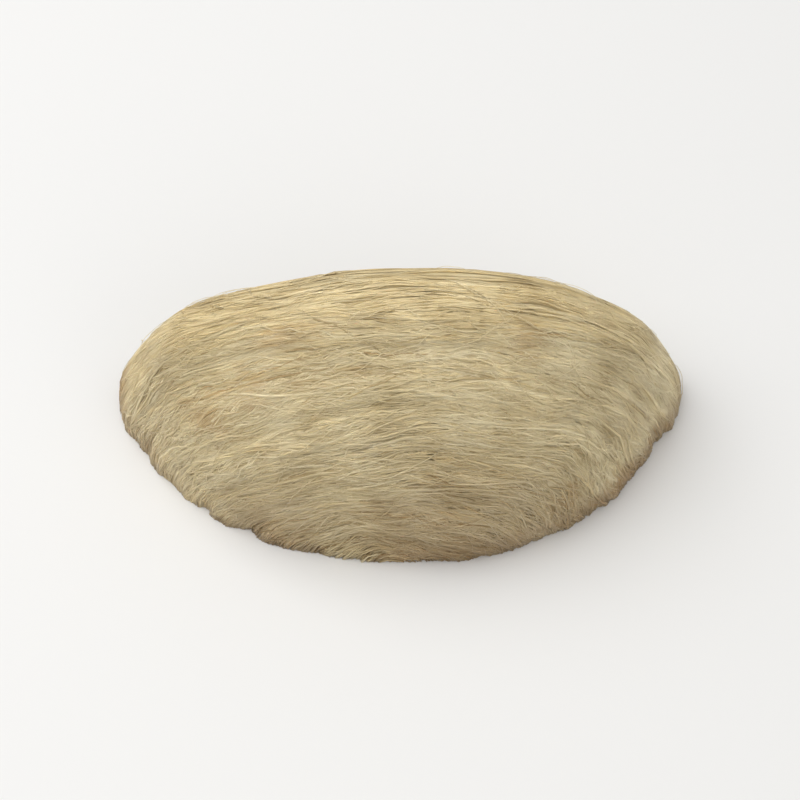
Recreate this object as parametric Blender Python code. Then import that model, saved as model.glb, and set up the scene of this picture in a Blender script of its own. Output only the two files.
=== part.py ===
"""Edible bird's nest: one half cup of hardened strands, cut off flat where it grew on the wall.

The cut lies on the ground at Z = 0 and the cup bulges up from it. Its mouth opens towards +Y, its tip points
to -Y, and its two feet, where the strands took hold of the wall, are at the ends of X. The origin is the
middle of its base. Metres throughout.
"""

import math

import bmesh
import bpy
from mathutils import Vector, noise

# Driving dimensions
HALF_LENGTH = 0.0415   # mouth's centre to the outside of a foot, along the wall
REACH = 0.0365         # how far the cup stood out from the wall
FULLNESS = 2.35        # 2 would be an oval seen from above, more has fuller shoulders
DEPTH = 0.0260         # rim line down to the tip
RIM_WALL = 0.0100      # wall thickness at the rim
TIP_WALL = 0.0075      # wall thickness at the tip
ROLL_HEIGHT = 0.0050   # how far the rounded rim stands above the rim line

# The feet
FOOT_START = math.radians(60)   # where a foot begins, measured round from the middle of the cup
FOOT_FLARE = 0.0024             # how far the outside spreads where it meets the wall
FOOT_WALL = 0.0040              # extra wall thickness in a foot
FOOT_LIFT = 0.0038              # how far the rim climbs the wall at the feet

# Nothing is quite even: the size of each wave, how many go round, and where it starts
UNEVEN_OUTLINE = ((0.024, 2, 0.0), (0.006, 5, 0.4))   # share of the radius
UNEVEN_WALL = ((0.10, 3, 0.8),)                       # share of the thickness
UNEVEN_RIM = ((0.0009, 4, 1.1),)                      # metres of height

# Random drift over the outside: waves along a radian, waves down the wall, and which drift it is
BAND_DRIFT = (1.3, 2.2, 10.4)
STRENGTH_DRIFT = (0.9, 4.0, 9.1)
RIM_DRIFT = (1.1, 0.0, 5.3)

# Relief of the strands
SAG = 0.36              # how far a strand hangs down between its two ends, as a share of its depth
COLLAR_HEIGHT = 0.0011  # the last strands laid, round the rim, stand proud of the cup below
COLLAR_END = 0.22       # share of the depth where the collar stops
ROLLS_ON_RIM = 3
BANDS = 7               # rolls of strands between the rim and the tip
BAND_HEIGHT = 0.0008
BAND_WANDER = 0.6       # how far a band strays up or down, in bands
LUMP_HEIGHT = 0.0011
LUMP_SIZE = 0.023
NET_HEIGHT = 0.0009     # the crossing strands that line the hollow
NET_MESH = 0.0095
TIP_FADE = 0.16         # share of the wall beside the tip where the relief dies out

# The surface runs from the outer tip, over the rim, to the inner tip
ROWS = 80
COLUMNS = 60
OUTER_SHARE = 0.54
ROLL_SHARE = 0.14
WELD = 1e-5
SHARP_EDGE = math.radians(60)


def smooth(start, end, value):
    """0 before start, 1 after end, and an even curve between them."""
    share = min(max((value - start) / (end - start), 0.0), 1.0)
    return share * share * (3 - 2 * share)


def uneven(waves, around):
    return sum(size * math.sin(count * around + phase) for size, count, phase in waves)


def foot(around):
    """How far into a foot this is: 0 along the cup, 1 at the wall."""
    return smooth(FOOT_START, math.pi / 2, abs(around))


def rim_radius(around):
    """Outside of the cup at the rim line, seen from the middle of the mouth."""
    along = abs(math.sin(around) / HALF_LENGTH) ** FULLNESS
    out = abs(math.cos(around) / REACH) ** FULLNESS
    return (1 + uneven(UNEVEN_OUTLINE, around)) * (along + out) ** (-1 / FULLNESS)


def wall_at_rim(around):
    return RIM_WALL * (1 + uneven(UNEVEN_WALL, around)) + FOOT_WALL * foot(around)


def rim_lift(around):
    """The rim dips in the middle and climbs the wall at the feet."""
    return FOOT_LIFT * math.sin(around) ** 2 + uneven(UNEVEN_RIM, around)


def along_strand(down, around):
    """Where the strand that crosses the middle of the cup at share down has got to at this angle."""
    return down * (1 - SAG * (1 - down) * (1 - math.cos(around)))


def drift(around, down, pattern):
    """Slow random drift over the outside, from -1 to 1."""
    along, across, layer = pattern
    return noise.noise(Vector((along * around, across * down, layer)))


def lumps(point):
    return LUMP_HEIGHT * noise.noise(point / LUMP_SIZE + Vector((0.4, 2.7, 0.9)))


def bands(down, around):
    """Rounded rolls with sharp grooves between them, below the collar."""
    phase = BANDS * down + BAND_WANDER * drift(around, down, BAND_DRIFT)
    strength = 0.6 + 0.6 * drift(around, down, STRENGTH_DRIFT)
    return BAND_HEIGHT * strength * abs(math.sin(math.pi * phase)) * smooth(0.0, COLLAR_END, down)


def collar(down):
    return COLLAR_HEIGHT * (1 - smooth(COLLAR_END - 0.06, COLLAR_END, down))


def net(point):
    """Ridges along the borders of random cells."""
    nearest = noise.voronoi(point / NET_MESH)[0]
    return NET_HEIGHT * (1 - smooth(0.0, 0.24, nearest[1] - nearest[0]))


def in_place(radius, height, around):
    return Vector((radius * math.sin(around), height, radius * math.cos(around)))


def over_the_rim(share, around):
    """Radius, height, outward direction and relief where the rounded rim runs from outside to inside."""
    half_wall = wall_at_rim(around) / 2
    turn = math.pi * share
    radius = rim_radius(around) - half_wall + half_wall * math.cos(turn)
    outer = (1 + math.cos(turn)) / 2
    strands = abs(math.sin(ROLLS_ON_RIM * turn + 1.5 * drift(around, 0.0, RIM_DRIFT))) * math.sin(turn)
    relief = COLLAR_HEIGHT * outer + 0.5 * BAND_HEIGHT * strands
    return radius, ROLL_HEIGHT * math.sin(turn), (math.cos(turn), math.sin(turn)), relief


def down_the_wall(share, around, side):
    """The same down the wall: share runs 0 to 1 from the rim line to the tip, side is 1 outside, -1 inside."""
    inset = 0.0 if side > 0 else wall_at_rim(around)
    spread = rim_radius(around) - inset
    deep = DEPTH if side > 0 else DEPTH - TIP_WALL
    turn = share * math.pi / 2
    radius, height = spread * math.cos(turn), -deep * math.sin(turn)
    lean = math.hypot(math.cos(turn) / spread, math.sin(turn) / deep)
    outward = (side * math.cos(turn) / spread / lean, -side * math.sin(turn) / deep / lean)
    return radius, height, outward


def section(across, around):
    """Radius, height, outward direction, depth and relief of the wall's section, not yet put in place."""
    roll_end = OUTER_SHARE + ROLL_SHARE
    if OUTER_SHARE <= across <= roll_end:
        radius, height, outward, relief = over_the_rim((across - OUTER_SHARE) / ROLL_SHARE, around)
        return radius, height, outward, 0.0, relief
    side = 1 if across < OUTER_SHARE else -1
    down = 1 - across / OUTER_SHARE if side > 0 else (across - roll_end) / (1 - roll_end)
    depth = along_strand(down, around)
    radius, height, outward = down_the_wall(depth, around, side)
    if side > 0:
        relief = bands(down, around) + collar(down)
    else:
        relief = net(in_place(radius, height, around)) * smooth(0.05, 0.35, down)
    return radius, height, outward, depth, relief * smooth(0.0, TIP_FADE, 1 - down)


def wall_point(across, around):
    """A point of the nest's skin: across runs 0 to 1 over the rim, around runs from foot to foot."""
    radius, height, outward, depth, relief = section(across, around)
    near_rim = (1 - depth) ** 2
    if across <= OUTER_SHARE + ROLL_SHARE / 2:
        radius += FOOT_FLARE * foot(around) ** 2 * near_rim
    height += rim_lift(around) * near_rim
    swell = relief + lumps(in_place(radius, height, around)) * smooth(0.0, 0.2, 1 - depth)
    radius += outward[0] * swell
    height += outward[1] * swell
    return in_place(max(radius, 0.0), height, around)


def strands():
    """Dry, slightly glossy strands the colour of raw silk."""
    material = bpy.data.materials.new("nest_strands")
    material.use_nodes = True
    shader = material.node_tree.nodes["Principled BSDF"]
    shader.inputs["Base Color"].default_value = (0.60, 0.50, 0.31, 1.0)
    shader.inputs["Roughness"].default_value = 0.55
    shader.inputs["Metallic"].default_value = 0.0
    return material


def centre_on_base(vertices):
    """Moves the cup along the ground until the origin is the middle of its base."""
    for axis in (0, 1):
        places = [vertex.co[axis] for vertex in vertices]
        middle = (min(places) + max(places)) / 2
        for vertex in vertices:
            vertex.co[axis] -= middle


def build_nest():
    """A flat grid wrapped over the cup, pinched shut at the two tips and closed by the cut face."""
    mesh = bpy.data.meshes.new("nest")
    shape = bmesh.new()
    bmesh.ops.create_grid(shape, x_segments=ROWS, y_segments=COLUMNS, size=1)
    for vertex in shape.verts:
        across = (vertex.co.x + 1) / 2
        around = vertex.co.y * math.pi / 2
        vertex.co = wall_point(across, around)
    bmesh.ops.remove_doubles(shape, verts=shape.verts, dist=WELD)
    rim_of_cut = [edge for edge in shape.edges if edge.is_boundary]
    for vertex in {vertex for edge in rim_of_cut for vertex in edge.verts}:
        vertex.co.z = 0.0
    bmesh.ops.holes_fill(shape, edges=rim_of_cut, sides=0)
    bmesh.ops.recalc_face_normals(shape, faces=shape.faces)
    centre_on_base(shape.verts)
    shape.to_mesh(mesh)
    shape.free()
    mesh.shade_smooth()
    mesh.set_sharp_from_angle(angle=SHARP_EDGE)
    nest = bpy.data.objects.new("nest", mesh)
    nest.data.materials.append(strands())
    return nest


def main():
    for leftover in list(bpy.data.objects):
        bpy.data.objects.remove(leftover)
    collection = bpy.data.collections.new("edible_birds_nest")
    bpy.context.scene.collection.children.link(collection)
    collection.objects.link(build_nest())


main()
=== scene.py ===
import math

import bpy
import numpy as np
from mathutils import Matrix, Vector, noise


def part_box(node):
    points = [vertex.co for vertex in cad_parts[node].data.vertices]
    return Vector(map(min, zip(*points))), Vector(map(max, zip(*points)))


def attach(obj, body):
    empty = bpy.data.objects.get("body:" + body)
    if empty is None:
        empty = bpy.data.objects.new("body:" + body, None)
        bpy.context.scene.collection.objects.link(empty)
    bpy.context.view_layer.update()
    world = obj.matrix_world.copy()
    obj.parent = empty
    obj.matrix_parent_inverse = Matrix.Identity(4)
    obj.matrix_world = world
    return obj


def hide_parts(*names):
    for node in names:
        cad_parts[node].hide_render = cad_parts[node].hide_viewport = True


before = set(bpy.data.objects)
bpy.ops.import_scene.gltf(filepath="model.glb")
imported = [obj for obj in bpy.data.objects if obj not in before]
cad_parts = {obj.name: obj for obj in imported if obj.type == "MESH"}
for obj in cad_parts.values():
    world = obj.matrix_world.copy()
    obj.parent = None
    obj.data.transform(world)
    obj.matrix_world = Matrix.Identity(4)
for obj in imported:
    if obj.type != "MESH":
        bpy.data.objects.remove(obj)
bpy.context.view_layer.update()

# Edible bird's nest, lying on the flat face where it was cut from its wall, seen from its rounded outer side.
# X runs along the wall, Z points out from it, the mouth opens to +Y. Metres.

nestLow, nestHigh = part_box("nest")
rightAngle = math.pi / 2
fullTurn = 2 * math.pi

# The cup's own shape, as in the solid it replaces, with its collar and bands a little prouder
cup = {
    "halfLength": 0.0415,    # mouth's centre to the outside of a foot
    "reach": 0.0365,         # how far the cup stood out from the wall
    "fullness": 2.35,        # 2 would be an oval, more has fuller shoulders
    "depth": 0.0260,         # rim line down to the tip
    "rimWall": 0.0100,
    "tipWall": 0.0075,
    "rollHeight": 0.0050,    # rounded rim above the rim line
    "footStart": math.radians(60),
    "footFlare": 0.0024,
    "footWall": 0.0040,
    "footLift": 0.0038,
    # waves round the cup: how high, how many, where they start. The first two are shares, the rim's in metres
    "unevenOutline": ((0.024, 2, 0.0), (0.006, 5, 0.4)),
    "unevenWall": ((0.10, 3, 0.8),),
    "unevenRim": ((0.0009, 4, 1.1),),
    "sag": 0.36,             # how far a strand hangs between its two ends
    "collarHeight": 0.0015,
    "collarEnd": 0.22,       # share of the way down the wall
    "collarEdge": 0.06,      # over which the collar dies out
    "bands": 7,
    "bandHeight": 0.0009,
    "bandStrength": (0.6, 0.6),      # the mean, and how strongly it drifts from it
    "bandWander": 0.6,               # in bands
    "bandDrift": (1.3, 2.2, 10.4),   # waves a radian, waves down the wall, which pattern
    "strengthDrift": (0.9, 4.0, 9.1),
    "lumpHeight": 0.0011,
    "lumpSize": 0.023,
    "lumpShift": (0.4, 2.7, 0.9),
    "lumpFade": 0.2,         # share of the wall beside the tip where the lumps die out
    "tipFade": 0.16,         # and where the bands do
    "outerShare": 0.54,      # shares of the section: outside, rounded rim, and the rest is inside
    "rollShare": 0.14,
}
rollEnd = cup["outerShare"] + cup["rollShare"]


def smoothStep(start, end, value):
    share = np.clip((value - start) / (end - start), 0.0, 1.0)
    return share * share * (3 - 2 * share)


def waves(table, around):
    return sum(size * np.sin(count * around + phase) for size, count, phase in table)


def noiseAt(first, second, third):
    # Blender's own noise at every point of three arrays, mostly within 0.5 either way
    first, second, third = np.broadcast_arrays(first, second, third)
    spots = zip(first.ravel().tolist(), second.ravel().tolist(), third.ravel().tolist())
    return np.array([noise.noise(spot) for spot in spots]).reshape(first.shape)


def drift(around, down, pattern):
    return noiseAt(pattern[0] * around, pattern[1] * down, pattern[2])


def rimRadius(around):
    along = np.abs(np.sin(around) / cup["halfLength"]) ** cup["fullness"]
    out = np.abs(np.cos(around) / cup["reach"]) ** cup["fullness"]
    return (1 + waves(cup["unevenOutline"], around)) * (along + out) ** (-1 / cup["fullness"])


def footShare(around):
    return smoothStep(cup["footStart"], rightAngle, np.abs(around))


def bandShift(down, around):
    # the strands rise and fall together, so each one keeps to its band
    fade = smoothStep(0.0, cup["collarEnd"], down) * smoothStep(0.0, cup["tipFade"], 1 - down)
    return fade * cup["bandWander"] / cup["bands"] * drift(around, down, cup["bandDrift"])


def wallRelief(down, flow, around):
    mean, spread = cup["bandStrength"]
    strength = mean + spread * drift(around, flow, cup["strengthDrift"])
    rolls = cup["bandHeight"] * strength * np.abs(np.sin(math.pi * cup["bands"] * down))
    collarFade = smoothStep(cup["collarEnd"] - cup["collarEdge"], cup["collarEnd"], down)
    collar = cup["collarHeight"] * (1 - collarFade)
    relief = rolls * smoothStep(0.0, cup["collarEnd"], down) + collar
    return relief * smoothStep(0.0, cup["tipFade"], 1 - down)


def wallSkin(across, around):
    # places on the wall: across runs 0 to 1 from the outer tip over the rim to the inner tip,
    # around runs from foot to foot in radians
    outer = across <= cup["outerShare"]
    roll = ~outer & (across < rollEnd)
    radius = rimRadius(around)
    thick = cup["rimWall"] * (1 + waves(cup["unevenWall"], around)) + cup["footWall"] * footShare(around)

    # down the outside and the inside
    innerDown = (across - rollEnd) / (1 - rollEnd)
    down = np.clip(np.where(outer, 1 - across / cup["outerShare"], innerDown), 0.0, 1.0)
    flow = np.clip(down - np.where(outer, bandShift(down, around), 0.0), 0.0, 1.0)
    share = flow * (1 - cup["sag"] * (1 - flow) * (1 - np.cos(around)))
    side = np.where(outer, 1.0, -1.0)
    spread = radius - np.where(outer, 0.0, thick)
    deep = cup["depth"] - np.where(outer, 0.0, cup["tipWall"])
    turn = share * rightAngle
    lean = np.hypot(np.cos(turn) / spread, np.sin(turn) / deep)

    # over the rounded rim
    rimTurn = math.pi * np.clip((across - cup["outerShare"]) / cup["rollShare"], 0.0, 1.0)
    reach = np.where(roll, radius - thick / 2 + thick / 2 * np.cos(rimTurn), spread * np.cos(turn))
    height = np.where(roll, cup["rollHeight"] * np.sin(rimTurn), -deep * np.sin(turn))
    leanOut = np.where(roll, np.cos(rimTurn), side * np.cos(turn) / spread / lean)
    leanUp = np.where(roll, np.sin(rimTurn), -side * np.sin(turn) / deep / lean)
    rimRelief = cup["collarHeight"] * (1 + np.cos(rimTurn)) / 2
    relief = np.where(roll, rimRelief, np.where(outer, wallRelief(down, flow, around), 0.0))

    nearRim = (1 - np.where(roll, 0.0, share)) ** 2
    flare = cup["footFlare"] * footShare(around) ** 2 * nearRim
    reach = reach + flare * (1 + np.cos(rimTurn)) / 2
    height = height + (cup["footLift"] * np.sin(around) ** 2 + waves(cup["unevenRim"], around)) * nearRim
    lumpSpot = [reach * np.sin(around), height, reach * np.cos(around)]
    lumpSpot = [place / cup["lumpSize"] + shift for place, shift in zip(lumpSpot, cup["lumpShift"])]
    lumps = cup["lumpHeight"] * noiseAt(*lumpSpot) * smoothStep(0.0, cup["lumpFade"], nearRim ** 0.5)
    reach = np.maximum(reach + leanOut * (relief + lumps), 0.0)
    height = height + leanUp * (relief + lumps)
    return np.stack([reach * np.sin(around), height, reach * np.cos(around)], axis=-1)


# The wall sampled once, so that any strand can be laid on it

comb = {
    "rows": 700,
    "columns": 360,
    "calmRim": 0.55,               # how much of the rolls is lost over the rim
    "rimEdges": (0.40, 0.80),      # where the rim's calm begins outside and inside, as across
    "sink": 0.0003,                # makes room for the rolls inside the solid's skin
    "tipFade": 0.06,               # share of the section beside each tip where they die out
    # waves: how long along the strands, how wide across them, how far they go, which pattern
    "rolls": ((0.0160, 0.0026, 0.00038, 3.1), (0.0070, 0.0011, 0.00013, 8.6)),     # out of the wall
    "strays": ((0.0100, 0.0045, 0.00034, 2.3), (0.0045, 0.0016, 0.00016, 7.9)),    # and sideways
}
noiseGain = 2    # brings most of the noise to within 1 either way
tiny = 1e-12     # keeps a division away from zero


def unit(vectors):
    return vectors / np.maximum(np.linalg.norm(vectors, axis=-1, keepdims=True), tiny)


def tipFade(across):
    return smoothStep(0.0, comb["tipFade"], across) * smoothStep(0.0, comb["tipFade"], 1 - across)


class WallTable:

    def __init__(self):
        rows, columns = comb["rows"], comb["columns"]
        across = np.linspace(0.0, 1.0, rows)[:, None]
        around = np.linspace(-rightAngle, rightAngle, columns)[None, :]
        across, around = np.broadcast_arrays(across, around)
        self.place = wallSkin(across, around)
        middle = (self.place.min(axis=(0, 1)) + self.place.max(axis=(0, 1))) / 2
        self.place[..., 0] += (nestLow.x + nestHigh.x) / 2 - middle[0]
        self.place[..., 1] += (nestLow.y + nestHigh.y) / 2 - middle[1]
        self.measure()
        metresAlong = np.cumsum(self.metresRound, axis=1) * math.pi / (columns - 1)
        self.along = metresAlong - metresAlong[:, columns // 2][:, None]
        self.down = np.cumsum(self.metresDown[:, columns // 2])[:, None] / (rows - 1)
        rolls = sum(size * noiseGain * np.abs(pattern) for size, pattern in self.patterns("rolls"))
        outerEdge, innerEdge = comb["rimEdges"]
        rimShare = smoothStep(outerEdge, cup["outerShare"], across) * smoothStep(innerEdge, rollEnd, across)
        rolls = rolls * (1 - comb["calmRim"] * rimShare) - comb["sink"]
        self.place += self.normal * (rolls * tipFade(across))[..., None]
        self.stray = sum(size * noiseGain * pattern for size, pattern in self.patterns("strays"))
        self.measure()

    def measure(self):
        rows, columns = self.place.shape[:2]
        downWall = np.gradient(self.place, axis=0)
        alongWall = np.gradient(self.place, axis=1)
        self.normal = unit(np.cross(alongWall, downWall))     # out of the wall on both sides
        # metres in one unit of across, and in one radian of around
        self.metresDown = np.linalg.norm(downWall, axis=-1) * (rows - 1)
        self.metresRound = np.linalg.norm(alongWall, axis=-1) * (columns - 1) / math.pi

    def patterns(self, name):
        for longWay, wideWay, size, layer in comb[name]:
            yield size, noiseAt(self.along / longWay, self.down / wideWay, layer)

    def read(self, table, across, around):
        # what a table holds at any across and around, evened out between its rows and columns
        rows, columns = table.shape[:2]
        row = np.clip(across, 0.0, 1.0) * (rows - 1)
        column = (np.clip(around, -rightAngle, rightAngle) / math.pi + 0.5) * (columns - 1)
        rowLow = np.minimum(row.astype(int), rows - 2)
        columnLow = np.minimum(column.astype(int), columns - 2)
        rowPart, columnPart = row - rowLow, column - columnLow
        if table.ndim == 3:
            rowPart, columnPart = rowPart[..., None], columnPart[..., None]

        def alongRow(place):
            return table[place, columnLow] * (1 - columnPart) + table[place, columnLow + 1] * columnPart

        return alongRow(rowLow) * (1 - rowPart) + alongRow(rowLow + 1) * rowPart

    def readOne(self, table, across, around):
        return float(self.read(table, np.array([across]), np.array([around]))[0])


wall = WallTable()
print("wall worked out")


# The body under the strands: a grid wrapped over the cup, with the strands' lowest relief

body = {
    "rows": 500,
    "columns": 76,
    "threadSize": (0.009, 0.00060, 1.7),     # along, across, which pattern
    "threadHeight": 0.00016,
    "sinkUnderStrands": 0.00022,
    "tone": (0.30, 0.60),
    "weld": 1e-5,
    "sharpEdge": math.radians(60),
}


def deselectAll():
    bpy.ops.object.select_all(action="DESELECT")


def closeBody():
    # pinches the tips shut and closes the cut face
    bpy.ops.object.mode_set(mode="EDIT")
    bpy.ops.mesh.select_all(action="SELECT")
    bpy.ops.mesh.remove_doubles(threshold=body["weld"])
    bpy.ops.mesh.select_all(action="DESELECT")
    bpy.ops.mesh.select_non_manifold()
    bpy.ops.mesh.edge_face_add()
    bpy.ops.mesh.select_all(action="SELECT")
    bpy.ops.mesh.normals_make_consistent(inside=False)
    bpy.ops.object.mode_set(mode="OBJECT")
    bpy.ops.object.shade_smooth_by_angle(angle=body["sharpEdge"])


def makeBody():
    deselectAll()
    bpy.ops.mesh.primitive_grid_add(x_subdivisions=body["rows"], y_subdivisions=body["columns"], size=2)
    piece = bpy.context.object
    piece.name = "nestBody"
    spots = np.zeros(len(piece.data.vertices) * 3)
    piece.data.vertices.foreach_get("co", spots)
    across = (spots[0::3] + 1) / 2
    around = spots[1::3] * rightAngle
    longWay, wideWay, layer = body["threadSize"]
    along = wall.read(wall.along, across, around)
    down = np.interp(across, np.linspace(0, 1, len(wall.down)), wall.down[:, 0])
    threads = np.abs(noiseAt(along / longWay, down / wideWay, layer)) * noiseGain
    relief = body["threadHeight"] * threads * tipFade(across) - body["sinkUnderStrands"]
    normal = wall.read(wall.normal, across, around)
    place = wall.read(wall.place, across, around) + normal * relief[:, None]
    place[:, 2] = np.maximum(place[:, 2], 0.0)
    piece.data.vertices.foreach_set("co", place.ravel())
    low, high = body["tone"]
    tone = piece.data.attributes.new("strandTone", "FLOAT", "POINT")
    tone.data.foreach_set("value", low + (high - low) * np.clip(threads, 0.0, 1.0))
    closeBody()
    return piece


# Strands: closed three-sided tubes laid on the wall in locks, a lock being strands that run together.
# across is the stretch of wall that the locks are centred on, and towardsFeet the stretch between the cup's
# middle and its feet. slope is how far they climb for each metre they run, lift how high they lie, kink how
# far a strand sways, and step the distance between its points. Tone runs from 0, dark, to 1, pale.

outerBroad = {
    "name": "outerStrandsBroad",
    "seed": 3,
    "locks": 165,
    "strandsInLock": (5, 9),
    "across": (0.004, 0.455),
    "towardsFeet": (0.0, 1.0),
    "halfLength": (0.009, 0.042),
    "slope": 0.10,
    "lockWidth": 0.0012,
    "width": (0.00030, 0.00060),
    "thickness": 0.00014,
    "lift": (-0.00012, 0.00014),
    "kink": 0.00008,
    "step": 0.0020,
    "tone": (0.40, 0.65),
    "toneSpread": 0.16,
}

outerMiddle = {
    "name": "outerStrandsMiddle",
    "seed": 5,
    "locks": 195,
    "strandsInLock": (6, 11),
    "across": (0.004, 0.455),
    "towardsFeet": (0.0, 1.0),
    "halfLength": (0.007, 0.036),
    "slope": 0.16,
    "lockWidth": 0.0016,
    "width": (0.00020, 0.00038),
    "thickness": 0.00012,
    "lift": (-0.00006, 0.00006),
    "kink": 0.00020,
    "step": 0.0014,
    "tone": (0.40, 0.60),
    "toneSpread": 0.20,
}

outerFine = {
    "name": "outerStrandsFine",
    "seed": 8,
    "locks": 230,
    "strandsInLock": (6, 11),
    "across": (0.004, 0.450),
    "towardsFeet": (0.0, 1.0),
    "halfLength": (0.005, 0.026),
    "slope": 0.21,
    "lockWidth": 0.0020,
    "width": (0.00014, 0.00026),
    "thickness": 0.00009,
    "lift": (0.00002, 0.00014),
    "kink": 0.00024,
    "step": 0.0012,
    "tone": (0.50, 0.75),
    "toneSpread": 0.22,
}

rimStrands = {
    "name": "rimStrands",
    "seed": 21,
    "locks": 222,
    "strandsInLock": (5, 10),
    "across": (0.435, 0.73),
    "towardsFeet": (0.0, 1.0),
    "halfLength": (0.010, 0.052),
    "slope": 0.05,
    "lockWidth": 0.0012,
    "width": (0.00016, 0.00034),
    "thickness": 0.00010,
    "lift": (-0.00006, 0.00008),
    "kink": 0.00008,
    "step": 0.0018,
    "tone": (0.40, 0.58),
    "toneSpread": 0.12,
}

footStrands = {
    "name": "footStrands",
    "seed": 29,
    "locks": 130,
    "strandsInLock": (5, 10),
    "across": (0.52, 0.86),
    "towardsFeet": (0.70, 1.0),
    "halfLength": (0.008, 0.019),
    "slope": 0.11,
    "lockWidth": 0.0024,
    "width": (0.00020, 0.00042),
    "thickness": 0.00014,
    "lift": (-0.00008, 0.00010),
    "kink": 0.00010,
    "step": 0.0018,
    "tone": (0.45, 0.65),
    "toneSpread": 0.16,
}

hollowStrands = {
    "name": "hollowStrands",
    "seed": 34,
    "locks": 140,
    "strandsInLock": (4, 8),
    "across": (0.68, 0.985),
    "towardsFeet": (0.0, 1.0),
    "halfLength": (0.011, 0.045),
    "slope": 0.21,
    "lockWidth": 0.0016,
    "width": (0.00022, 0.00045),
    "thickness": 0.00016,
    "lift": (-0.00010, 0.00020),
    "kink": 0.00018,
    "step": 0.0015,
    "tone": (0.35, 0.60),
    "toneSpread": 0.16,
}


def tubesToMesh(name, tubes):
    # a tube is its centre line, side and up vectors, half width, thickness and tone at every point; it gets
    # three corners there, two at its sides and one on top
    places, faces, tones, start = [], [], [], 0
    for centre, side, up, half, thick, tone in tubes:
        count = len(centre)
        corners = [centre - side * half[:, None], centre + side * half[:, None], centre + up * thick[:, None]]
        places.append(np.stack(corners, axis=1).reshape(-1, 3))
        tones.append(np.repeat(tone, 3))
        ring = start + np.arange(count - 1)[:, None] * 3 + np.array([0, 1, 2])
        nextCorner = start + np.arange(count - 1)[:, None] * 3 + np.array([1, 2, 0])
        faces += np.stack([ring, nextCorner, nextCorner + 3, ring + 3], axis=-1).reshape(-1, 4).tolist()
        last = start + (count - 1) * 3
        faces.append([start + 2, start + 1, start])
        faces.append([last, last + 1, last + 2])
        start += count * 3
    places = np.concatenate(places)
    places[:, 2] = np.maximum(places[:, 2], 0.0)
    mesh = bpy.data.meshes.new(name)
    mesh.from_pydata(places.tolist(), [], faces)
    mesh.shade_smooth()
    attribute = mesh.attributes.new("strandTone", "FLOAT", "POINT")
    attribute.data.foreach_set("value", np.concatenate(tones))
    piece = bpy.data.objects.new(name, mesh)
    bpy.context.scene.collection.objects.link(piece)
    return piece


tuck = {
    "taper": 3.0,        # steps over which an end gets thin
    "thinEnd": 0.25,     # what is left of its width
    "depth": 0.00016,    # and how far it sinks in among the other strands
    "cutAngle": 0.02,    # an end this near the cut face, in radians, is cut off square
}


def layStrand(across, around, lift, width, thickness, tone):
    # the tube of one strand, from its path over the wall
    count = len(across)
    cutOff = rightAngle - tuck["cutAngle"]
    fromStart = np.arange(count) / tuck["taper"] + (abs(around[0]) > cutOff)
    fromEnd = np.arange(count)[::-1] / tuck["taper"] + (abs(around[-1]) > cutOff)
    taper = np.clip(np.minimum(fromStart, fromEnd), 0.0, 1.0)
    lift = lift - tuck["depth"] * (1 - taper)
    taper = tuck["thinEnd"] + (1 - tuck["thinEnd"]) * taper
    normal = wall.read(wall.normal, across, around)
    centre = wall.read(wall.place, across, around) + normal * lift[:, None]
    ahead = unit(np.gradient(centre, axis=0))
    side = unit(np.cross(ahead, normal))
    up = np.cross(side, ahead)
    return centre, side, up, width / 2 * taper, thickness * taper, tone


lay = {
    "spots": 200,                     # places across the wall that a lock may be centred on
    "edge": 0.003,                    # strands keep this far from the tips
    "pastFeet": 0.8,                  # a lock may be centred past a foot, by this much of its half length
    "lockSlope": 0.5,                 # spread of the locks' climb, as a share of their slope
    "strandSlope": 0.8,               # and of the strands' in one lock
    "strandLength": (0.6, 1.1),       # shares of the lock's half length
    "strandOffset": 0.5,              # spread of a lock's strands, in lock widths
    "shortest": 0.002,                # a strand with less of it on the cup is left out
    "fewestSteps": 4,
    "swing": 0.017,                   # slow bends that a lock's strands share
    "swingRate": (2, 5),              # how fast a wave turns, in radians for each radian round the cup
    "kinkLength": (0.0035, 0.0070),   # quick bends of a single strand
    "hop": 0.00006,                   # up and down among the others
    "hopRate": (3, 12),
    "liftSpread": 0.00008,
    "widthWave": 0.25,
    "widthRate": (3, 9),
    "toneWave": 0.08,
}


def placeLock(recipe, rng, spots, chances):
    # where a lock lies and how it runs
    across = rng.choice(spots, p=chances)
    girth = wall.readOne(wall.metresRound, across, 0.0)             # metres a radian
    perMetre = 1 / wall.readOne(wall.metresDown, across, 0.0)       # across in each metre of wall
    span = rng.uniform(*recipe["halfLength"]) / girth
    farthest = rightAngle + lay["pastFeet"] * span
    return {
        "across": across,
        "girth": girth,
        "perMetre": perMetre,
        "span": span,
        "around": rng.choice((-1, 1)) * rng.uniform(*recipe["towardsFeet"]) * farthest,
        "slope": rng.normal(0, lay["lockSlope"]),
        "swing": rng.uniform(0.0, lay["swing"]) * girth * perMetre,
        "swingRate": rng.uniform(*lay["swingRate"]),
        "swingPhase": rng.uniform(0, fullTurn),
        "lift": rng.uniform(*recipe["lift"]),
        "tone": rng.uniform(*recipe["tone"]),
    }


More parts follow.
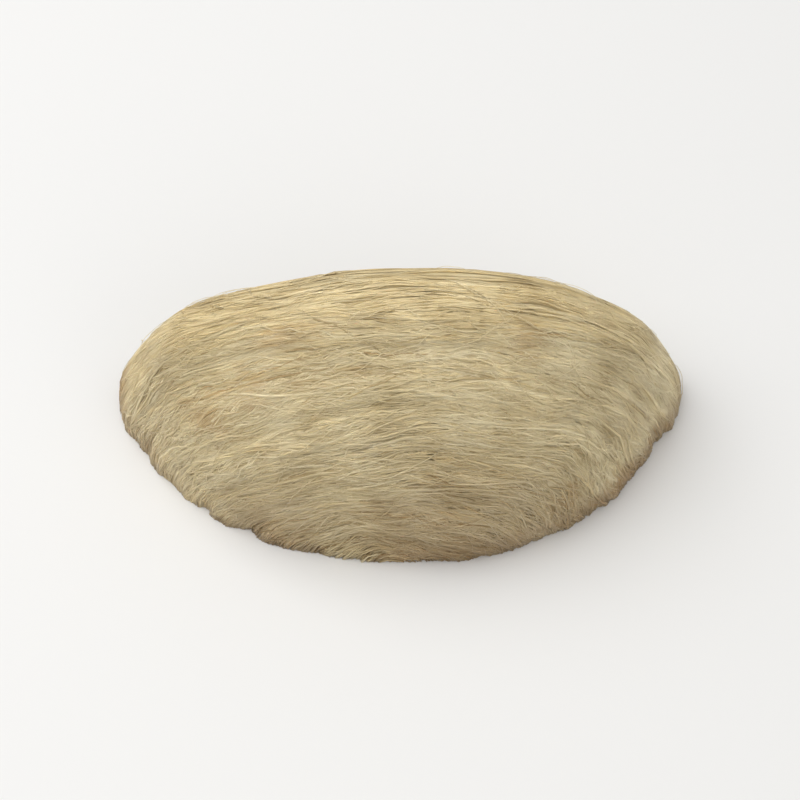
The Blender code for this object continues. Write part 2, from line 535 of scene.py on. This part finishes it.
def strandInLock(recipe, rng, lock):
    # one strand's tube, or nothing where too little of it is on the cup
    girth, perMetre, middle = lock["girth"], lock["perMetre"], lock["around"]
    first = max(middle - lock["span"] * rng.uniform(*lay["strandLength"]), -rightAngle)
    last = min(middle + lock["span"] * rng.uniform(*lay["strandLength"]), rightAngle)
    length = (last - first) * girth
    if length < lay["shortest"]:
        return None
    steps = max(int(length / recipe["step"]), lay["fewestSteps"])
    around = np.linspace(first, last, steps + 1)

    slope = (lock["slope"] + rng.normal(0, lay["strandSlope"])) * recipe["slope"] * girth * perMetre
    offset = rng.normal(0, lay["strandOffset"]) * recipe["lockWidth"] * perMetre
    kinkRate = girth * fullTurn / rng.uniform(*lay["kinkLength"])
    kink = recipe["kink"] * perMetre * np.sin(kinkRate * around + rng.uniform(0, fullTurn))
    swing = lock["swing"] * np.sin(lock["swingRate"] * around + lock["swingPhase"])
    across = lock["across"] + slope * (around - middle) + swing + offset + kink
    across = across + wall.read(wall.stray, across, around) * perMetre
    across = np.clip(across, lay["edge"], 1 - lay["edge"])

    hop = lay["hop"] * np.sin(rng.uniform(*lay["hopRate"]) * around + rng.uniform(0, fullTurn))
    lift = lock["lift"] + rng.uniform(-lay["liftSpread"], lay["liftSpread"]) + hop
    width = rng.uniform(*recipe["width"])
    widthWave = lay["widthWave"] * np.sin(rng.uniform(*lay["widthRate"]) * around + kinkRate)
    tone = lock["tone"] + rng.normal(0, recipe["toneSpread"])
    tone = np.clip(tone + lay["toneWave"] * np.sin(kinkRate / 2 * around + middle), 0.0, 1.0)
    return layStrand(across, around, lift, width * (1 + widthWave), recipe["thickness"], tone)


def layLocks(recipe):
    rng = np.random.default_rng(recipe["seed"])
    spots = np.linspace(*recipe["across"], lay["spots"])
    room = wall.read(wall.metresRound, spots, np.zeros(lay["spots"]))
    chances = room / room.sum()      # more locks where there is more wall
    tubes = []
    for number in range(recipe["locks"]):
        lock = placeLock(recipe, rng, spots, chances)
        for strand in range(rng.integers(*recipe["strandsInLock"])):
            tubes.append(strandInLock(recipe, rng, lock))
    return tubesToMesh(recipe["name"], [tube for tube in tubes if tube is not None])


# Strands that wander: those that cross the others, the loose net that lines the hollow, and odd fibres that
# stand off the surface. ragged is how far they may stray past the start of their stretch of wall.

outerCrossing = {
    "name": "outerStrandsCrossing",
    "seed": 41,
    "count": 1650,
    "across": (0.010, 0.445),
    "ragged": 0.005,
    "length": (0.006, 0.016),
    "heading": 0.20,         # spread of directions: 0 keeps to the strands' way, 1 is every way
    "turning": 0.07,         # radians a step
    "width": (0.00013, 0.00030),
    "thickness": 0.00010,
    "lift": (0.00002, 0.00014),
    "arch": 0.00008,         # how far its middle stands off its ends
    "step": 0.0010,
    "tone": (0.30, 1.0),
}

hollowNet = {
    "name": "hollowNet",
    "seed": 55,
    "count": 520,
    "across": (0.66, 0.99),
    "ragged": 0.038,
    "length": (0.010, 0.034),
    "heading": 1.0,
    "turning": 0.10,
    "width": (0.00025, 0.00060),
    "thickness": 0.00026,
    "lift": (0.0001, 0.0012),
    "arch": 0.0006,
    "step": 0.0011,
    "tone": (0.45, 0.95),
}

strayFibres = {
    "name": "strayFibres",
    "seed": 77,
    "count": 500,
    "across": (0.02, 0.70),
    "ragged": 0.010,
    "length": (0.005, 0.018),
    "heading": 0.25,
    "turning": 0.09,
    "width": (0.00008, 0.00014),
    "thickness": 0.00007,
    "lift": (0.0001, 0.0003),
    "arch": 0.0005,
    "step": 0.0009,
    "tone": (0.6, 1.0),
}


wander = {
    "fewestPoints": 5,
    "leastDown": 0.01,         # metres in a unit of across, so that no step is wild beside a tip
    "leastRound": 0.004,       # and in a radian
    "archShare": (0.2, 1.0),
    "raggedLift": 0.2,         # share of the lift that is left past the start of the stretch
    "widthWave": 0.2,
    "widthRate": (0.2, 0.8),   # how fast the wave turns, in radians a step
}


def wanderPath(recipe, rng):
    # steps over the wall whose heading drifts, until they run out or leave the stretch of wall
    start, end = recipe["across"]
    steps = int(rng.uniform(*recipe["length"]) / recipe["step"])
    heading = rng.uniform(-1, 1) * rightAngle * recipe["heading"]
    heading = heading + np.cumsum(rng.normal(0, recipe["turning"], steps))
    across, around = [rng.uniform(start, end)], [rng.uniform(-rightAngle, rightAngle)]
    edge = start - recipe["ragged"] * rng.uniform(0, 1) ** 2
    for angle in heading:
        metresDown = wall.readOne(wall.metresDown, across[-1], around[-1])
        metresRound = wall.readOne(wall.metresRound, across[-1], around[-1])
        perMetre = 1 / max(metresDown, wander["leastDown"])
        perGirth = 1 / max(metresRound, wander["leastRound"])
        nextAcross = across[-1] + recipe["step"] * math.sin(angle) * perMetre
        nextAround = around[-1] + recipe["step"] * math.cos(angle) * perGirth
        if abs(nextAround) > rightAngle or not edge <= nextAcross <= end:
            break
        across.append(nextAcross)
        around.append(nextAround)
    return np.array(across), np.array(around)


def wanderStrands(recipe):
    rng = np.random.default_rng(recipe["seed"])
    start = recipe["across"][0]
    tubes = []
    for strand in range(recipe["count"]):
        across, around = wanderPath(recipe, rng)
        count = len(across)
        if count < wander["fewestPoints"]:
            continue
        bow = np.sin(np.linspace(0, math.pi, count))
        lift = rng.uniform(*recipe["lift"]) + recipe["arch"] * rng.uniform(*wander["archShare"]) * bow
        settled = smoothStep(start - recipe["ragged"], start + recipe["ragged"], across)
        lift = lift * (wander["raggedLift"] + (1 - wander["raggedLift"]) * settled)
        width = rng.uniform(*recipe["width"])
        widthWave = wander["widthWave"] * np.sin(rng.uniform(*wander["widthRate"]) * np.arange(count))
        tone = np.full(count, rng.uniform(*recipe["tone"]))
        tubes.append(layStrand(across, around, lift, width * (1 + widthWave), recipe["thickness"], tone))
    return tubesToMesh(recipe["name"], tubes)


# The looks

class Wire:
    # wraps a shader socket, so that sums on it add Math nodes

    def __init__(self, tree, socket=None):
        self.tree = tree
        self.socket = socket

    def node(self, kind, settings, inputs, output=0):
        # any node: its type, its settings, then the values or links of its sockets
        made = self.tree.nodes.new(kind)
        for name, value in settings.items():
            if name == "stops":
                self.setStops(made.color_ramp, value)
            else:
                setattr(made, name, value)
        for name, value in inputs.items():
            if isinstance(value, Wire):
                self.tree.links.new(value.socket, made.inputs[name])
            else:
                made.inputs[name].default_value = value
        return Wire(self.tree, made.outputs[output])

    def setStops(self, ramp, stops):
        while len(ramp.elements) < len(stops):
            ramp.elements.new(1.0)
        for element, (position, colour) in zip(ramp.elements, stops):
            element.position = position
            element.color = colour

    def sum(self, operation, first, second):
        return self.node("ShaderNodeMath", {"operation": operation}, {0: first, 1: second})

    def __add__(self, other):
        return self.sum("ADD", self, other)

    def __radd__(self, other):
        return self.sum("ADD", other, self)

    def __sub__(self, other):
        return self.sum("SUBTRACT", self, other)

    def __rsub__(self, other):
        return self.sum("SUBTRACT", other, self)

    def __mul__(self, other):
        return self.sum("MULTIPLY", self, other)

    def __rmul__(self, other):
        return self.sum("MULTIPLY", other, self)

    def feed(self, shader, name):
        self.tree.links.new(self.socket, shader.inputs[name])

    def mixed(self, first, second):
        # first where this wire is 0, second where it is 1
        settings = {"data_type": "RGBA", "clamp_factor": True}
        return self.node("ShaderNodeMix", settings, {0: self, 6: first, 7: second}, output=2)

    def between(self, low, high):
        # 0 below low, 1 above high
        settings = {"interpolation_type": "SMOOTHSTEP"}
        return self.node("ShaderNodeMapRange", settings, {"Value": self, "From Min": low, "From Max": high})


def srgb(red, green, blue):
    # a colour as a picture shows it, 0 to 255, made linear
    shares = [value / 255 for value in (red, green, blue)]
    linear = [((s + 0.055) / 1.055) ** 2.4 if s > 0.04 else s / 12.92 for s in shares]
    return (*linear, 1.0)


silk = {
    "pale": srgb(238, 224, 186),
    "middle": srgb(214, 196, 152),
    "deep": srgb(172, 148, 102),
    "stops": (0.15, 0.5, 0.9),        # the lightness at which each is reached, deep to pale
    "stain": srgb(188, 152, 100),
    # brown for the wall's residue and for painted shade near the floor and towards the tip
    "residueAndShadeBrown": srgb(140, 104, 62),
    "toneShare": 0.6,                 # how much a strand's own tone counts in the lightness
    "patchShare": 0.85,               # and how much the patches do
    "darker": 0.225,                  # taken off the two
    "patchSize": 0.012,
    "patchDetail": 3.0,
    "stainSize": 0.016,
    "stainDetail": 5.0,
    "stainStretch": (0.55, 1.0, 1.0),
    "stainTone": 0.12,                # how much more a dark strand takes the stain than a pale one
    "middleTone": 0.5,
    "stainEdges": (0.55, 0.70),       # no stain below the first, all of it above the second
    "stainAmount": 0.55,
    "wallReach": (0.0005, 0.010),     # heights between which the brown near the cut face fades: partly the wall's residue, partly painted shade in the crevices by the floor
    "wallEdges": (0.30, 0.60),
    "wallResidueAndShadeAmount": 0.60,
    "tipShadeReach": (-0.0180, -0.0070),   # and Y for the painted shade towards the tip, a brown darkening
    "tipShadeEdges": (0.30, 0.50),
    "tipShadeAmount": 0.36,
    "roughness": (0.34, 0.52),        # from patch to patch
    "grainSize": 0.00035,
    "grainDetail": 2.0,
    "grain": {"Strength": 0.5, "Distance": 0.00003},
    "plain": {                        # the same all over
        "Specular IOR Level": 0.45,
        "Subsurface Weight": 0.45,
        "Subsurface Radius": (1.0, 0.90, 0.72),
        "Subsurface Scale": 0.0008,
    },
}


def setInputs(node, values):
    for name, value in values.items():
        node.inputs[name].default_value = value


def newMaterial(name, plain):
    material = bpy.data.materials.new(name)
    material.use_nodes = True
    shader = material.node_tree.nodes["Principled BSDF"]
    setInputs(shader, plain)
    return material, shader


def cloudy(wire, place, size, detail):
    # random patches of this size, 0 to 1
    return wire.node("ShaderNodeTexNoise", {}, {"Vector": place, "Scale": 1 / size, "Detail": detail})


def silkMaterial():
    material, shader = newMaterial("drySilkStrands", silk["plain"])
    shader.subsurface_method = "BURLEY"
    wire = Wire(material.node_tree)
    place = wire.node("ShaderNodeTexCoord", {}, {}, output=3)
    tone = wire.node("ShaderNodeAttribute", {"attribute_name": "strandTone"}, {}, output=2)
    patches = cloudy(wire, place, silk["patchSize"], silk["patchDetail"])
    longer = wire.node("ShaderNodeVectorMath", {"operation": "MULTIPLY"}, {0: place, 1: silk["stainStretch"]})
    stains = cloudy(wire, longer, silk["stainSize"], silk["stainDetail"])
    stains = stains + (silk["middleTone"] - tone) * silk["stainTone"]

    lightness = tone * silk["toneShare"] + patches * silk["patchShare"] - silk["darker"]
    ramp = list(zip(silk["stops"], (silk["deep"], silk["middle"], silk["pale"])))
    colour = wire.node("ShaderNodeValToRGB", {"stops": ramp}, {"Fac": lightness})
    colour = (stains.between(*silk["stainEdges"]) * silk["stainAmount"]).mixed(colour, silk["stain"])
    height = wire.node("ShaderNodeSeparateXYZ", {}, {"Vector": place}, output=2)
    # painted shade and residue: browner and darker in patches near the floor, standing for the crevices'
    # shade as well as the wall's residue
    wallResidueAndShade = (1 - height.between(*silk["wallReach"])) * stains.between(*silk["wallEdges"])
    colour = (wallResidueAndShade * silk["wallResidueAndShadeAmount"]).mixed(colour, silk["residueAndShadeBrown"])
    out = wire.node("ShaderNodeSeparateXYZ", {}, {"Vector": place}, output=1)
    # painted shade: browner and darker in patches towards the tip
    tipShade = (1 - out.between(*silk["tipShadeReach"])) * stains.between(*silk["tipShadeEdges"])
    colour = (tipShade * silk["tipShadeAmount"]).mixed(colour, silk["residueAndShadeBrown"])
    colour.feed(shader, "Base Color")

    low, high = silk["roughness"]
    (patches * (high - low) + low).feed(shader, "Roughness")
    grain = cloudy(wire, place, silk["grainSize"], silk["grainDetail"])
    bump = wire.node("ShaderNodeBump", {}, {**silk["grain"], "Height": grain})
    bump.feed(shader, "Normal")
    return material


def dress(piece, material):
    piece.data.materials.append(material)
    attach(piece, "root")
    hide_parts("nest")


# The floor, the light and the camera

stage = {
    "floorSize": 4.0,
    "floorDrop": 0.00005,     # keeps the floor off the cut face
    "floor": {"Base Color": (0.86, 0.855, 0.84, 1.0), "Roughness": 0.7},
    "world": {"Color": (1.0, 1.0, 1.0, 1.0), "Strength": 0.46},
    "lights": (
        # name, place, width, watts
        ("keyLight", (-0.30, 0.09, 0.65), 0.80, 4.3),
        ("fillLight", (0.50, -0.45, 0.40), 0.60, 0.8),
    ),
    "lens": 100.0,
    "elevation": 60.0,
    "widthShare": 0.74,       # how much of the picture's width the nest takes
    "clipStart": 0.01,
}


def setStage():
    deselectAll()
    bpy.ops.mesh.primitive_plane_add(size=stage["floorSize"], location=(0, 0, -stage["floorDrop"]))
    floor = bpy.context.object
    floor.name = "floor"
    material, shader = newMaterial("paleFloor", stage["floor"])
    floor.data.materials.append(material)
    world = bpy.data.worlds.new("softRoom")
    world.use_nodes = True
    setInputs(world.node_tree.nodes["Background"], stage["world"])
    bpy.context.scene.world = world
    bpy.context.scene.view_settings.view_transform = "Standard"
    for name, place, width, watts in stage["lights"]:
        bpy.ops.object.light_add(type="AREA", location=place)
        light = bpy.context.object
        light.name = name
        light.data.size = width
        light.data.energy = watts
        light.rotation_mode = "QUATERNION"
        light.rotation_quaternion = Vector(place).to_track_quat("Z", "Y")


def setCamera():
    centre = (nestLow + nestHigh) / 2
    wide = (nestHigh.x - nestLow.x) / stage["widthShare"]
    angle = math.radians(stage["elevation"])
    back = Vector((0, -math.cos(angle), math.sin(angle)))
    bpy.ops.object.camera_add()
    camera = bpy.context.object
    camera.name = "camera"
    camera.data.lens = stage["lens"]
    camera.location = centre + back * (wide * stage["lens"] / camera.data.sensor_width)
    camera.rotation_mode = "QUATERNION"
    camera.rotation_quaternion = back.to_track_quat("Z", "Y")
    camera.data.clip_start = stage["clipStart"]
    bpy.context.scene.camera = camera


def report(piece):
    triangles = sum(len(face.vertices) - 2 for face in piece.data.polygons)
    print(piece.name, triangles, "triangles")
    return triangles


silkLook = silkMaterial()
pieces = [makeBody()]
for recipe in (outerBroad, outerMiddle, outerFine, rimStrands, footStrands, hollowStrands):
    pieces.append(layLocks(recipe))
for recipe in (outerCrossing, hollowNet, strayFibres):
    pieces.append(wanderStrands(recipe))
for piece in pieces:
    dress(piece, silkLook)
print("nest made,", sum(report(piece) for piece in pieces), "triangles in all")
setStage()
setCamera()
print("stage set")
